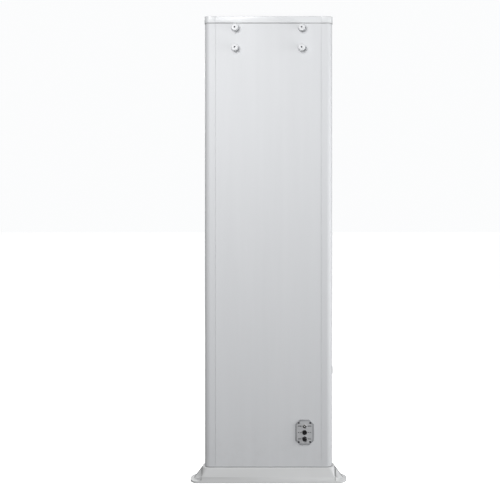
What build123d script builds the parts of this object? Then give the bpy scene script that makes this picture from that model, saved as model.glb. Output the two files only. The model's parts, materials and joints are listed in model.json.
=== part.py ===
from build123d import *
import os

# Side panel of a walk-through security gate, standing on the floor.
# Frame: +Z up, +X along the panel, -Y out of the outer face (hand knobs, service plate),
# +Y out of the inner face (walkway, header).  Origin on the floor, under the panel's middle.
# All sizes are in millimetres.

os.makedirs("parts", exist_ok=True)

# ---------------------------------------------------------------- overall sizes
overall_h = 2200.0
panel_w = 604.0
panel_t = 64.0

# ---------------------------------------------------------------- fits and gaps
run_fit = 0.05        # radial clearance of a shaft or screw in its hole
slip_fit = 0.3        # clearance between pieces that are pushed together
face_gap = 0.2        # gap between flat faces of pieces that move apart

# ---------------------------------------------------------------- panel skins and frame
edge_r = 26.0         # rounding of the panel's upright edges
profile_w = 52.0      # width of an edge profile, as seen on a face
profile_wall = 2.5
tongue_l = 16.0       # ledge of the profile behind a face sheet
sheet_t = 4.0
seam_gap = 0.6        # visible seam between a face sheet and a profile
rail_h = 28.0
rail_wall = 2.5
plug_h = 25.0

# ---------------------------------------------------------------- cap
cap_h = 31.0
cap_top_t = 3.0
cap_over = 2.5        # overhang beyond the panel's faces and edges
cap_seam = 0.4
cap_screw_r = 2.0
cap_screw_head_r = 4.0
cap_screw_l = 20.0
cap_screw_end = 50.0  # outer screws of the middle strip, from the seam
cap_screw_mid = 70.0  # inner screws of the middle strip, from the middle

# ---------------------------------------------------------------- base shoe
shoe_end_wall = 11.0  # beyond the panel's edges
shoe_side_wall = 5.0  # beyond the panel's faces, at the rim
shoe_flare = 12.0     # how far each long side slopes out down to the floor
ear_l = 58.0
shoe_h = 70.0
shoe_floor = 12.0     # height of the seat that the panel stands on
shoe_lift = 1.0       # the moulding clears the floor by this much
flange_top = 10.0     # height of an ear's top face
cove_r = 20.0
ear_tip = 10.0        # straight stretch at the tip of each ear
web_w = 16.0          # over both plates of a gusset
web_t = 3.0
web_foot = 42.0       # how far a gusset web reaches out along its ear
web_drop = 4.0        # the web starts this far below the rim
rim_gap = 1.0
rim_edge_r = 3.0
foot_corner_r = 3.0   # upright corners where the coves start; they open out towards the rim
anchor_out = 28.0     # anchor holes beyond the upright body
anchor_y = 27.0
anchor_r = 5.5
pad_t = 3.0
pad_inset = 9.0
shoe_screw_r = 3.0
shoe_screw_head_r = 6.0
shoe_screw_head_h = 4.5
shoe_screw_l = 18.0
shoe_screw_x = 150.0

# ---------------------------------------------------------------- header fixings and hand knobs
knob_side = 93.0      # knobs inside the panel's seams
knob_dz = 94.0        # hole spacing up the panel
knob_drop = 25.0      # upper pair below the cap's lower edge
knob_r = 17.5
knob_grip_l = 21.6
knob_neck_r = 13.0
knob_neck_l = 4.0
flute_count = 12
flute_r = 3.4
flute_depth = 1.6
knob_hole_r = 3.6
stud_r = 4.0
shank_r = 3.6         # the stud is reduced behind its thread, so that the clip holds it captive
stud_head_r = 6.5
stud_head_l = 8.0
stud_head_drop = 6.0  # the screw head lies this far below the knob's face
stud_hex = 6.0
stud_reach = 15.0     # stud beyond the inner face
knob_travel = 10.0
washer_r = 12.0
washer_t = 2.0
sleeve_r = 9.0
clip_r = 6.4
clip_t = 1.0
clip_bore_r = 7.0
clip_seat = 1.5       # the clip lies this far below the inner face when the knob is home
bearer_w = 60.0
bearer_below = 26.0   # bearer below the lower pair of studs

# ---------------------------------------------------------------- header socket, on the inner face
header_r = 13.0
header_wall = 2.0
header_flange = 36.0
header_flange_t = 2.5
header_rear = 18.0    # the barrel's length behind the inner face
header_recess = 8.5
header_screw_r = 1.5
header_screw_head_r = 2.8
header_screw_d = 13.5
backshell_w = 30.0
backshell_t = 13.0
backshell_h = 40.0

# ---------------------------------------------------------------- service plate and box
plate_side = 79.0     # plate's middle inside the right-hand seam
plate_z = 236.0
plate_w = 88.0
plate_h = 120.0
plate_corner = 22.0
plate_t = 2.0
gasket_t = 1.0
label_border = 8.0
label_t = 0.5
plate_screw_dx = 54.0
plate_screw_dz = 90.0
plate_screw_r = 2.0
plate_screw_head_r = 4.3
plate_screw_head_h = 2.2
plate_screw_l = 12.0
box_w = 70.0
box_h = 106.0
box_corner = 9.0
box_wall = 2.0
box_depth = 44.0
box_flange = 10.0
box_boss_r = 4.0
device_pitch = 30.0

# ---------------------------------------------------------------- toggle switch
switch_bush_r = 6.0
switch_bush_l = 9.0
switch_bore_r = 3.9
switch_nut_af = 17.0
switch_nut_t = 3.0
switch_w = 18.0
switch_h = 26.0
switch_d = 22.0
lever_ball_r = 3.5
lever_root_r = 1.4
lever_tip_r = 2.6
lever_l = 15.0
lever_tilt = 13.0
lever_pivot = 5.0     # pivot in front of the label
lever_pin_r = 0.7     # cross pin that the lever turns on

# ---------------------------------------------------------------- power socket
socket_flange_r = 11.0
socket_flange_t = 3.0
socket_r = 9.0
socket_bore_r = 7.5
socket_rear = 22.0
socket_recess = 7.5
contact_r = 1.0
contact_pitch_r = 3.6

# ---------------------------------------------------------------- fuse holder
fuse_flange_r = 11.0
fuse_flange_t = 1.5
fuse_tube_r = 7.0
fuse_bore_r = 4.2
fuse_rear = 31.0
fuse_end_t = 4.0
fuse_ring_r = 9.0
fuse_ring_t = 1.0
fuse_cap_r = 9.5
fuse_cap_l = 8.0
fuse_neck_l = 9.0
fuse_link_r = 2.6
fuse_link_l = 20.0
fuse_slot_w = 1.6
fuse_slot_depth = 1.5

# ---------------------------------------------------------------- coils and wiring inside
former_t = 6.0
former_z0 = 318.0
former_z1 = 1996.0
zone_count = 6
zone_margin = 7.0     # from the ribbon to the zone coils
zone_gap = 18.0       # between neighbouring zone coils
coil_band = 10.0
coil_t = 8.0
zone_corner = 40.0
main_coil_side = 25.0 # main coil inside the seams
main_coil_inset = 22.0
main_coil_band = 12.0
batten_h = 12.0
batten_side = 18.0    # a batten stops this far inside the main coil
ribbon_w = 20.0
ribbon_t = 1.5
ribbon_edge = 3.0
harness_r = 3.5
harness_side = 13.0   # header lead inside the left-hand seam
harness_bend = 40.0
supply_r = 3.0

board_side = 100.0    # board inside the left-hand seam
board_w = 160.0
board_z0 = 110.0
board_z1 = 250.0
board_y = 4.0
board_t = 1.6
post_r = 3.0
post_inset = 8.0
block_l = 14.0
block_h = 20.0
block_t = 8.4

# ---------------------------------------------------------------- bumper on the right-hand edge
bumper_z = 523.0
bumper_h = 38.0
bumper_w = 11.0
bumper_t = 3.5

# ---------------------------------------------------------------- places that follow from the sizes
half_t = panel_t / 2
seam_x = panel_w / 2 - profile_w
panel_top = overall_h - cap_top_t
shoe_top_l = panel_w + 2 * shoe_end_wall
shoe_l = shoe_top_l + 2 * ear_l
shoe_top_d = panel_t + 2 * shoe_side_wall
shoe_d = shoe_top_d + 2 * shoe_flare
ear_r = (shoe_d - ear_tip) / 2
rim_corner_r = edge_r + shoe_side_wall
rim_block_z = flange_top + cove_r
rim_block_d = shoe_d - 2 * shoe_flare * (rim_block_z - shoe_lift) / (shoe_h - shoe_lift)
anchor_x = shoe_top_l / 2 + anchor_out
knob_dx = 2 * (seam_x - knob_side)
plate_x = seam_x - plate_side
zone_w = 2 * (seam_x - ribbon_edge - ribbon_w - zone_margin)
main_coil_w = 2 * (seam_x - main_coil_side)
harness_x = harness_side - seam_x
board_x0 = board_side - seam_x
board_x1 = board_x0 + board_w
cap_screw_xs = (cap_screw_end - seam_x, -cap_screw_mid, cap_screw_mid, seam_x - cap_screw_end)
cap_bottom = overall_h - cap_h
core_half = half_t - sheet_t                 # inner face of a face sheet
rail_half = core_half - profile_wall         # the rails fit between the profiles' ledges
rail_bottom = panel_top - rail_h
upper_z = cap_bottom - knob_drop
lower_z = upper_z - knob_dz
knob_mid_z = (upper_z + lower_z) / 2
bearer_z0 = lower_z - bearer_below
label_face = half_t + gasket_t + plate_t + label_t
plate_back = half_t + gasket_t
knob_base = half_t + face_gap + washer_t + face_gap
knob_face = knob_base + knob_neck_l + knob_grip_l
zone_pitch = (former_z1 - former_z0 - zone_gap) / zone_count
zone_h = zone_pitch - zone_gap
harness_y = former_t / 2 + harness_r + 1.5
harness_top = (former_z1 + bearer_z0) / 2
block_z = (board_z0 + board_z1) / 2
pad_recess_top = pad_t

KNOBS = {
    "top_left": (-knob_dx / 2, upper_z),
    "top_right": (knob_dx / 2, upper_z),
    "bottom_left": (-knob_dx / 2, lower_z),
    "bottom_right": (knob_dx / 2, lower_z),
}


def outward(x, z, distance):
    """Plane facing out of the outer face, at a distance in front of the panel's mid-plane."""
    return Plane(origin=(x, -distance, z), x_dir=(1, 0, 0), z_dir=(0, -1, 0))


def inward(x, z, distance):
    """Plane facing out of the inner face, at a distance behind the panel's mid-plane."""
    return Plane(origin=(x, distance, z), x_dir=(-1, 0, 0), z_dir=(0, 1, 0))


def save(piece, label):
    """Label a finished piece and write it to its own file."""
    piece.part.label = label
    export_step(piece.part, f"parts/{label}.step")


def edge_outline(x_inner, x_outer, half_depth, radius, mode=Mode.ADD):
    """Face with a straight inner side and two rounded outer corners, for the right-hand edge."""
    flat = half_depth - radius
    with BuildLine() as outline:
        Polyline(
            (x_outer - radius, -half_depth),
            (x_inner, -half_depth),
            (x_inner, half_depth),
            (x_outer - radius, half_depth),
        )
        CenterArc((x_outer - radius, flat), radius, 0, 90)
        Line((x_outer, flat), (x_outer, -flat))
        CenterArc((x_outer - radius, -flat), radius, 270, 90)
    make_face(outline.edges(), mode=mode)


def octagon(width, height, corner, mode=Mode.ADD):
    """Rectangle with its four corners cut off at 45 degrees."""
    half_w = width / 2
    half_h = height / 2
    Polygon(
        (half_w - corner, half_h),
        (half_w, half_h - corner),
        (half_w, corner - half_h),
        (half_w - corner, -half_h),
        (corner - half_w, -half_h),
        (-half_w, corner - half_h),
        (-half_w, half_h - corner),
        (corner - half_w, half_h),
        align=None,
        mode=mode,
    )


def inset_corner(corner, inset):
    """Corner cut of an octagon whose sides all move in by the inset."""
    return corner - inset * (2 - 2 ** 0.5)


def countersunk(head_r, shank_r, length):
    """Flush screw with a 45-degree head and a cross recess, along -Z from its head face."""
    head_h = head_r - shank_r
    Cylinder(shank_r, length, align=(Align.CENTER, Align.CENTER, Align.MAX))
    Cone(shank_r, head_r, head_h, align=(Align.CENTER, Align.CENTER, Align.MAX))
    Box(head_r, head_r / 5, head_h * 0.8, align=(Align.CENTER, Align.CENTER, Align.MAX), mode=Mode.SUBTRACT)
    Box(head_r / 5, head_r, head_h * 0.8, align=(Align.CENTER, Align.CENTER, Align.MAX), mode=Mode.SUBTRACT)


def pan_screw(head_r, head_h, shank_r, length):
    """Screw whose head stands above its plane, with a cross recess."""
    Cylinder(shank_r, length, align=(Align.CENTER, Align.CENTER, Align.MAX))
    Cone(head_r, head_r * 0.72, head_h, align=(Align.CENTER, Align.CENTER, Align.MIN))
    with Locations((0, 0, head_h)):
        Box(head_r, head_r / 5, head_h * 1.2, mode=Mode.SUBTRACT)
        Box(head_r / 5, head_r, head_h * 1.2, mode=Mode.SUBTRACT)


def screw_places():
    """Corner screws of the service plate, relative to the plate's centre."""
    return GridLocations(plate_screw_dx, plate_screw_dz, 2, 2)


# ================================================================ base shoe
profile_mid = seam_x + profile_w / 2
shoe_screws_at = [(x, 0) for x in (-profile_mid, -shoe_screw_x, shoe_screw_x, profile_mid)]

with BuildPart() as rim_block:
    with BuildSketch(Plane.XY.offset(rim_block_z)):
        RectangleRounded(shoe_top_l, rim_block_d, foot_corner_r)
    with BuildSketch(Plane.XY.offset(shoe_h)):
        RectangleRounded(shoe_top_l, shoe_top_d, rim_corner_r)
    loft()
    fillet(rim_block.faces().sort_by(Axis.Z)[-1].edges(), rim_edge_r)

with BuildPart() as base_shoe:
    # side outline: ears, coves and the upright body
    with BuildSketch(Plane.XZ):
        with BuildLine():
            Polyline(
                (0, shoe_lift),
                (shoe_l / 2, shoe_lift),
                (shoe_l / 2, flange_top),
                (shoe_top_l / 2 + cove_r, flange_top),
            )
            CenterArc((shoe_top_l / 2 + cove_r, flange_top + cove_r), cove_r, 180, 90)
            Line((shoe_top_l / 2, rim_block_z), (0, rim_block_z))
            mirror(about=Plane.YZ)
        make_face()
    extrude(amount=shoe_d / 2, both=True)
    # sloping outer and inner faces
    with BuildSketch(Plane.YZ):
        Polygon(
            (-shoe_d / 2, shoe_lift),
            (shoe_d / 2, shoe_lift),
            (shoe_top_d / 2, shoe_h),
            (-shoe_top_d / 2, shoe_h),
            align=None,
        )
    extrude(amount=shoe_l / 2, both=True, mode=Mode.INTERSECT)
    # rounded ends of the ears
    with BuildSketch(Plane.XY):
        RectangleRounded(shoe_l, shoe_d, ear_r)
    extrude(amount=shoe_h, mode=Mode.INTERSECT)
    add(rim_block.part)
    # gusset on each ear, two thin plates with a gap between them
    for web_y in (web_t / 2 - web_w / 2, web_w / 2 - web_t / 2):
        with BuildSketch(Plane.XZ.offset(web_y)):
            with BuildLine():
                Polyline(
                    (shoe_top_l / 2 - 1, flange_top - 1),
                    (shoe_top_l / 2 + web_foot, flange_top - 1),
                    (shoe_top_l / 2 + web_foot, flange_top),
                    (shoe_top_l / 2, shoe_h - web_drop),
                    (shoe_top_l / 2 - 1, shoe_h - web_drop),
                    close=True,
                )
            make_face()
            mirror(about=Plane.YZ)
        extrude(amount=web_t / 2, both=True)
    # pocket that the panel stands in
    with BuildSketch(Plane.XY.offset(shoe_floor)):
        RectangleRounded(panel_w + 2 * rim_gap, panel_t + 2 * rim_gap, edge_r + rim_gap)
    extrude(amount=shoe_h, mode=Mode.SUBTRACT)
    # recess for the foot pad
    with BuildSketch(Plane.XY.offset(shoe_lift)):
        RectangleRounded(shoe_l - 2 * pad_inset, shoe_d - 2 * pad_inset, ear_r - pad_inset)
        with Locations((anchor_x, anchor_y), (-anchor_x, anchor_y)):
            Circle(anchor_r + 3, mode=Mode.SUBTRACT)
    extrude(amount=pad_recess_top - shoe_lift, mode=Mode.SUBTRACT)
    # holes for the floor anchors and for the screws into the panel
    with Locations((anchor_x, anchor_y), (-anchor_x, anchor_y)):
        Hole(anchor_r)
    with BuildSketch(Plane.XY):
        with Locations(*shoe_screws_at):
            Circle(shoe_screw_r + run_fit)
    extrude(amount=shoe_floor, mode=Mode.SUBTRACT)
    with BuildSketch(Plane.XY):
        with Locations(*shoe_screws_at):
            Circle(shoe_screw_head_r + slip_fit)
    extrude(amount=pad_recess_top + shoe_screw_head_h, mode=Mode.SUBTRACT)
save(base_shoe, "base_shoe")

with BuildPart() as foot_pad:
    with BuildSketch(Plane.XY):
        RectangleRounded(
            shoe_l - 2 * pad_inset - 2 * slip_fit,
            shoe_d - 2 * pad_inset - 2 * slip_fit,
            ear_r - pad_inset - slip_fit,
        )
        with Locations((anchor_x, anchor_y), (-anchor_x, anchor_y)):
            Circle(anchor_r + 3 + slip_fit, mode=Mode.SUBTRACT)
    extrude(amount=pad_t)
save(foot_pad, "foot_pad")

with BuildPart() as shoe_screws:
    with BuildSketch(Plane.XY.offset(pad_recess_top)):
        with Locations(*shoe_screws_at):
            Circle(shoe_screw_head_r)
    extrude(amount=shoe_screw_head_h)
    with BuildSketch(Plane.XY.offset(pad_recess_top)):
        with Locations(*shoe_screws_at):
            Circle(shoe_screw_r)
    extrude(amount=shoe_screw_head_h + shoe_screw_l)
    with BuildSketch(Plane.XY.offset(pad_recess_top)):
        with Locations(*shoe_screws_at):
            RegularPolygon(shoe_screw_r / 1.2, 6, major_radius=False)
    extrude(amount=shoe_screw_head_h * 0.6, mode=Mode.SUBTRACT)
save(shoe_screws, "shoe_screws")

# ================================================================ frame of the panel
chamber_x0 = seam_x + profile_wall
chamber_x1 = panel_w / 2 - profile_wall
chamber_half = half_t - profile_wall
chamber_r = edge_r - profile_wall
plug_mid = (chamber_x0 + chamber_x1) / 2

for side in ("left", "right"):
    with BuildPart() as edge_profile:
        with BuildSketch(Plane.XY.offset(shoe_floor)):
            edge_outline(seam_x, panel_w / 2, half_t, edge_r)
            edge_outline(chamber_x0, chamber_x1, chamber_half, chamber_r, mode=Mode.SUBTRACT)
            for face in (-1, 1):
                with Locations((seam_x, face * (core_half - profile_wall / 2))):
                    Rectangle(tongue_l, profile_wall, align=(Align.MAX, Align.CENTER))
        extrude(amount=panel_top - shoe_floor)
        if side == "left":
            mirror(about=Plane.YZ, mode=Mode.REPLACE)
    save(edge_profile, f"{side}_edge_profile")

with BuildPart() as profile_plugs:
    for plug_z in (shoe_floor, panel_top - plug_h):
        with BuildSketch(Plane.XY.offset(plug_z)):
            edge_outline(
                chamber_x0 + slip_fit,
                chamber_x1 - slip_fit,
                chamber_half - slip_fit,
                chamber_r - slip_fit,
            )
        extrude(amount=plug_h)
    with BuildSketch(Plane.XY.offset(shoe_floor)):
        with Locations((profile_mid, 0)):
            Circle(shoe_screw_r + run_fit)
    extrude(amount=plug_h, mode=Mode.SUBTRACT)
    with BuildSketch(Plane.XY.offset(panel_top - plug_h)):
        with Locations((plug_mid, 0)):
            Circle(cap_screw_r + run_fit)
    extrude(amount=plug_h, mode=Mode.SUBTRACT)
    mirror(about=Plane.YZ)
save(profile_plugs, "profile_plugs")

with BuildPart() as top_rail:
    with BuildSketch(Plane.YZ):
        with Locations((0, rail_bottom + rail_h / 2)):
            Rectangle(2 * rail_half, rail_h)
            Rectangle(2 * rail_half - 2 * rail_wall, rail_h - 2 * rail_wall, mode=Mode.SUBTRACT)
    extrude(amount=seam_x, both=True)
    with BuildSketch(Plane.XY.offset(panel_top - rail_wall)):
        with Locations(*[(x, 0) for x in cap_screw_xs]):
            Circle(cap_screw_r + run_fit)
    extrude(amount=rail_wall, mode=Mode.SUBTRACT)
save(top_rail, "top_rail")

with BuildPart() as bottom_rail:
    with BuildSketch(Plane.YZ):
        with Locations((0, shoe_floor + rail_h / 2)):
            Rectangle(2 * rail_half, rail_h)
            Rectangle(2 * rail_half - 2 * rail_wall, rail_h - 2 * rail_wall, mode=Mode.SUBTRACT)
    extrude(amount=seam_x, both=True)
    with BuildSketch(Plane.XY.offset(shoe_floor)):
        with Locations((-shoe_screw_x, 0), (shoe_screw_x, 0)):
            Circle(shoe_screw_r + run_fit)
    extrude(amount=rail_wall, mode=Mode.SUBTRACT)
save(bottom_rail, "bottom_rail")

# ================================================================ face sheets
sheet_w = 2 * (seam_x - seam_gap)

with BuildPart() as outer_face_sheet:
    with BuildSketch(Plane.XY.offset(shoe_floor)):
        with Locations((0, -half_t + sheet_t / 2)):
            Rectangle(sheet_w, sheet_t)
    extrude(amount=panel_top - shoe_floor)
    with BuildSketch(outward(0, knob_mid_z, core_half)):
        with GridLocations(knob_dx, knob_dz, 2, 2):
            Circle(sleeve_r + run_fit)
    extrude(amount=sheet_t, mode=Mode.SUBTRACT)
    with BuildSketch(outward(plate_x, plate_z, core_half)):
        octagon(box_w + 2 * slip_fit, box_h + 2 * slip_fit, box_corner)
    extrude(amount=sheet_t, mode=Mode.SUBTRACT)
save(outer_face_sheet, "outer_face_sheet")

with BuildPart() as inner_face_sheet:
    with BuildSketch(Plane.XY.offset(shoe_floor)):
        with Locations((0, half_t - sheet_t / 2)):
            Rectangle(sheet_w, sheet_t)
    extrude(amount=panel_top - shoe_floor)
    with BuildSketch(inward(0, knob_mid_z, core_half)):
        with GridLocations(knob_dx, knob_dz, 2, 2):
            Circle(sleeve_r + run_fit)
        Circle(header_r + slip_fit)
        with GridLocations(2 * header_screw_d, 2 * header_screw_d, 2, 2):
            Circle(header_screw_r + run_fit)
    extrude(amount=sheet_t, mode=Mode.SUBTRACT)
save(inner_face_sheet, "inner_face_sheet")

# ================================================================ cap
cap_half = half_t + cap_over
cap_inner_half = half_t + slip_fit

with BuildPart() as top_cap:
    with BuildSketch(Plane.YZ):
        with Locations((0, cap_bottom)):
            Rectangle(2 * cap_half, cap_h, align=(Align.CENTER, Align.MIN))
            Rectangle(
                2 * cap_inner_half,
                cap_h - cap_top_t,
                align=(Align.CENTER, Align.MIN),
                mode=Mode.SUBTRACT,
            )
    extrude(amount=seam_x - cap_seam / 2, both=True)
    long_top_edges = top_cap.edges().filter_by(Axis.X).group_by(Axis.Z)[-1]
    fillet(long_top_edges, cap_over - slip_fit)
    with Locations(Plane.XY.offset(overall_h)):
        with Locations(*[(x, 0) for x in cap_screw_xs]):
            CounterSinkHole(cap_screw_r + run_fit, cap_screw_head_r + run_fit, cap_top_t + 1, 90)
save(top_cap, "top_cap")

for side in ("left", "right"):
    with BuildPart() as cap_end:
        with BuildSketch(Plane.XY.offset(cap_bottom)):
            edge_outline(seam_x + cap_seam / 2, panel_w / 2 + cap_over, cap_half, edge_r + cap_over)
        extrude(amount=cap_h)
        fillet(
            cap_end.faces().sort_by(Axis.Z)[-1].edges().filter_by(lambda e: e.center().X > seam_x + 1),
            cap_over - slip_fit,
        )
        with BuildSketch(Plane.XY.offset(cap_bottom)):
            edge_outline(seam_x, panel_w / 2 + slip_fit, cap_inner_half, edge_r + slip_fit)
        extrude(amount=cap_h - cap_top_t, mode=Mode.SUBTRACT)
        with Locations(Plane.XY.offset(overall_h)):
            with Locations((plug_mid, 0)):
                CounterSinkHole(cap_screw_r + run_fit, cap_screw_head_r + run_fit, cap_top_t + 1, 90)
        if side == "left":
            mirror(about=Plane.YZ, mode=Mode.REPLACE)
    save(cap_end, f"{side}_cap_end")

with BuildPart() as cap_screws:
    with Locations(Plane.XY.offset(overall_h)):
        with Locations(*[(x, 0) for x in (-plug_mid, *cap_screw_xs, plug_mid)]):
            countersunk(cap_screw_head_r, cap_screw_r, cap_screw_l)
save(cap_screws, "cap_screws")

# ================================================================ header fixings: bearers, sleeves, knobs
with BuildPart() as stud_bearers:
    with BuildSketch(Plane.XY.offset(bearer_z0)):
        with Locations((-knob_dx / 2, 0), (knob_dx / 2, 0)):
            Rectangle(bearer_w, 2 * core_half)
    extrude(amount=rail_bottom - bearer_z0)
    with BuildSketch(outward(0, knob_mid_z, -core_half)):
        with GridLocations(knob_dx, knob_dz, 2, 2):
            Circle(sleeve_r + run_fit)
    extrude(amount=2 * core_half, mode=Mode.SUBTRACT)
save(stud_bearers, "stud_bearers")

clip_bore_l = clip_seat + knob_travel + 1.0

with BuildPart() as stud_sleeves:
    with BuildSketch(outward(0, knob_mid_z, -half_t)):
        with GridLocations(knob_dx, knob_dz, 2, 2):
            Circle(sleeve_r)
            Circle(stud_r + run_fit, mode=Mode.SUBTRACT)
    extrude(amount=panel_t)
    with BuildSketch(outward(0, knob_mid_z, -half_t)):
        with GridLocations(knob_dx, knob_dz, 2, 2):
            Circle(clip_bore_r)
    extrude(amount=clip_bore_l, mode=Mode.SUBTRACT)
save(stud_sleeves, "stud_sleeves")

for place, (knob_x, knob_z) in KNOBS.items():
    with BuildPart() as washer:
        with BuildSketch(outward(knob_x, knob_z, half_t + face_gap)):
            Circle(washer_r)
            Circle(stud_r + slip_fit, mode=Mode.SUBTRACT)
        extrude(amount=washer_t)
    save(washer, f"washer_{place}")

    with BuildPart() as knob:
        with BuildSketch(outward(knob_x, knob_z, knob_base + knob_neck_l)):
            Circle(knob_r)
            with PolarLocations(knob_r + flute_r - flute_depth, flute_count):
                Circle(flute_r, mode=Mode.SUBTRACT)
        extrude(amount=knob_grip_l)
        chamfer(knob.faces().sort_by(Axis.Y)[0].edges(), 1.0)
        with BuildSketch(outward(knob_x, knob_z, knob_base)):
            Circle(knob_neck_r)
        extrude(amount=knob_neck_l)
        with BuildSketch(outward(knob_x, knob_z, knob_base)):
            Circle(shank_r)
        extrude(amount=knob_neck_l + knob_grip_l - stud_head_drop, mode=Mode.SUBTRACT)
        with BuildSketch(outward(knob_x, knob_z, knob_face)):
            Circle(knob_hole_r)
        extrude(amount=-stud_head_drop, mode=Mode.SUBTRACT)
        with BuildSketch(outward(knob_x, knob_z, knob_face - stud_head_drop - stud_head_l)):
            Circle(stud_head_r)
        extrude(amount=stud_head_l, mode=Mode.SUBTRACT)
    save(knob, f"knob_{place}")

    with BuildPart() as stud:
        with BuildSketch(outward(knob_x, knob_z, -half_t - stud_reach)):
            Circle(stud_r)
        extrude(amount=stud_reach + clip_seat - clip_t - run_fit)
        chamfer(stud.faces().sort_by(Axis.Y)[-1].edges(), 1.0)
        with BuildSketch(outward(knob_x, knob_z, -half_t)):
            Circle(shank_r)
        extrude(amount=half_t + knob_face - stud_head_drop)
        with BuildSketch(outward(knob_x, knob_z, knob_face - stud_head_drop - stud_head_l)):
            Circle(stud_head_r)
        extrude(amount=stud_head_l)
        with BuildSketch(outward(knob_x, knob_z, knob_face - stud_head_drop)):
            RegularPolygon(stud_hex / 2, 6, major_radius=False)
        extrude(amount=-stud_head_l * 0.6, mode=Mode.SUBTRACT)
        # retaining clip, a separate solid on the stud
        with BuildSketch(inward(knob_x, knob_z, half_t - clip_seat)):
            Circle(clip_r)
            Circle(shank_r + run_fit, mode=Mode.SUBTRACT)
            with Locations((0, -clip_r)):
                Rectangle(shank_r, clip_r, mode=Mode.SUBTRACT)
        extrude(amount=clip_t)
    save(stud, f"stud_{place}")


# ================================================================ header socket
with BuildPart() as header_socket:
    with BuildSketch(inward(0, knob_mid_z, half_t)):
        RectangleRounded(header_flange, header_flange, 4)
        Circle(header_r - header_wall, mode=Mode.SUBTRACT)
        with GridLocations(2 * header_screw_d, 2 * header_screw_d, 2, 2):
            Circle(header_screw_r + run_fit, mode=Mode.SUBTRACT)
    extrude(amount=header_flange_t)
    with BuildSketch(inward(0, knob_mid_z, half_t - header_rear)):
        Circle(header_r)
        Circle(header_r - header_wall, mode=Mode.SUBTRACT)
    extrude(amount=header_rear)
save(header_socket, "header_socket")

header_insert_l = header_rear + header_flange_t - header_recess
with BuildPart() as header_insert:
    with BuildSketch(inward(0, knob_mid_z, half_t - header_rear)):
        Circle(header_r - header_wall)
    extrude(amount=header_insert_l)
    with BuildSketch(inward(0, knob_mid_z, half_t - header_rear + header_insert_l)):
        with PolarLocations((header_r - header_wall) * 0.62, 7):
            Circle(contact_r)
        Circle(contact_r)
    extrude(amount=-header_insert_l / 2, mode=Mode.SUBTRACT)
save(header_insert, "header_insert")

with BuildPart() as header_screws:
    with Locations(inward(0, knob_mid_z, half_t + header_flange_t)):
        with GridLocations(2 * header_screw_d, 2 * header_screw_d, 2, 2):
            pan_screw(header_screw_head_r, 1.6, header_screw_r, header_flange_t + sheet_t)
save(header_screws, "header_screws")

with BuildPart() as header_backshell:
    with BuildSketch(inward(0, knob_mid_z, half_t - header_rear - backshell_t)):
        RectangleRounded(backshell_w, backshell_h, 4)
    extrude(amount=backshell_t)
save(header_backshell, "header_backshell")

# ================================================================ coils on their former
with BuildPart() as coil_former:
    with BuildSketch(Plane.XZ):
        with Locations((0, (former_z0 + former_z1) / 2)):
            Rectangle(2 * (seam_x - slip_fit), former_z1 - former_z0)
    extrude(amount=former_t / 2, both=True)
save(coil_former, "coil_former")

ribbon_x0 = -seam_x + ribbon_edge
ribbon_x1 = ribbon_x0 + ribbon_w

with BuildPart() as zone_coils:
    for index in range(zone_count):
        zone_mid = former_z0 + zone_gap + zone_h / 2 + index * zone_pitch
        with BuildSketch(outward(0, zone_mid, former_t / 2)):
            RectangleRounded(zone_w, zone_h, zone_corner)
            RectangleRounded(
                zone_w - 2 * coil_band,
                zone_h - 2 * coil_band,
                zone_corner - coil_band,
                mode=Mode.SUBTRACT,
            )
        extrude(amount=coil_t)
        # lead-out that meets the ribbon
        with BuildSketch(outward(0, zone_mid, former_t / 2)):
            with Locations((ribbon_x1, 0)):
                Rectangle(-zone_w / 2 - ribbon_x1 + 1, coil_band, align=(Align.MIN, Align.CENTER))
        extrude(amount=coil_t / 2)
save(zone_coils, "zone_coils")

main_z0 = former_z0 + main_coil_inset
main_z1 = former_z1 - main_coil_inset
with BuildPart() as main_coil:
    with BuildSketch(inward(0, (main_z0 + main_z1) / 2, former_t / 2)):
        RectangleRounded(main_coil_w, main_z1 - main_z0, 1.5 * zone_corner)
        RectangleRounded(
            main_coil_w - 2 * main_coil_band,
            main_z1 - main_z0 - 2 * main_coil_band,
            1.5 * zone_corner - main_coil_band,
            mode=Mode.SUBTRACT,
        )
    extrude(amount=coil_t)
save(main_coil, "main_coil")

batten_t = core_half - former_t / 2
with BuildPart() as foam_battens:
    for index in range(zone_count + 1):
        batten_z = former_z0 + zone_gap / 2 + index * zone_pitch
        with BuildSketch(outward(0, batten_z, former_t / 2)):
            Rectangle(zone_w, batten_h)
        extrude(amount=batten_t)
        with BuildSketch(inward(0, batten_z, former_t / 2)):
            Rectangle(main_coil_w - 2 * (main_coil_band + batten_side), batten_h)
        extrude(amount=batten_t)
save(foam_battens, "foam_battens")

with BuildPart() as coil_ribbon:
    with BuildSketch(outward(0, 0, former_t / 2)):
        with BuildLine():
            Polyline(
                (ribbon_x0, former_z1 - zone_gap),
                (ribbon_x0, block_z - ribbon_w / 2),
                (board_x0, block_z - ribbon_w / 2),
                (board_x0, block_z + ribbon_w / 2),
                (ribbon_x1, block_z + ribbon_w / 2),
                (ribbon_x1, former_z1 - zone_gap),
                close=True,
            )
        make_face()
    extrude(amount=ribbon_t)
save(coil_ribbon, "coil_ribbon")

# ================================================================ preamplifier and internal leads
with BuildPart() as preamp_board:
    with BuildSketch(inward(0, 0, board_y)):
        with Locations((-(board_x0 + board_x1) / 2, block_z)):
            Rectangle(board_x1 - board_x0, board_z1 - board_z0)
    extrude(amount=board_t)
save(preamp_board, "preamp_board")

post_l = core_half - board_y - board_t
with BuildPart() as board_posts:
    with BuildSketch(inward(0, 0, board_y + board_t)):
        with Locations((-(board_x0 + board_x1) / 2, block_z)):
            with GridLocations(
                board_x1 - board_x0 - 2 * post_inset,
                board_z1 - board_z0 - 2 * post_inset,
                2,
                2,
            ):
                Circle(post_r)
    extrude(amount=post_l)
save(board_posts, "board_posts")

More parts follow.
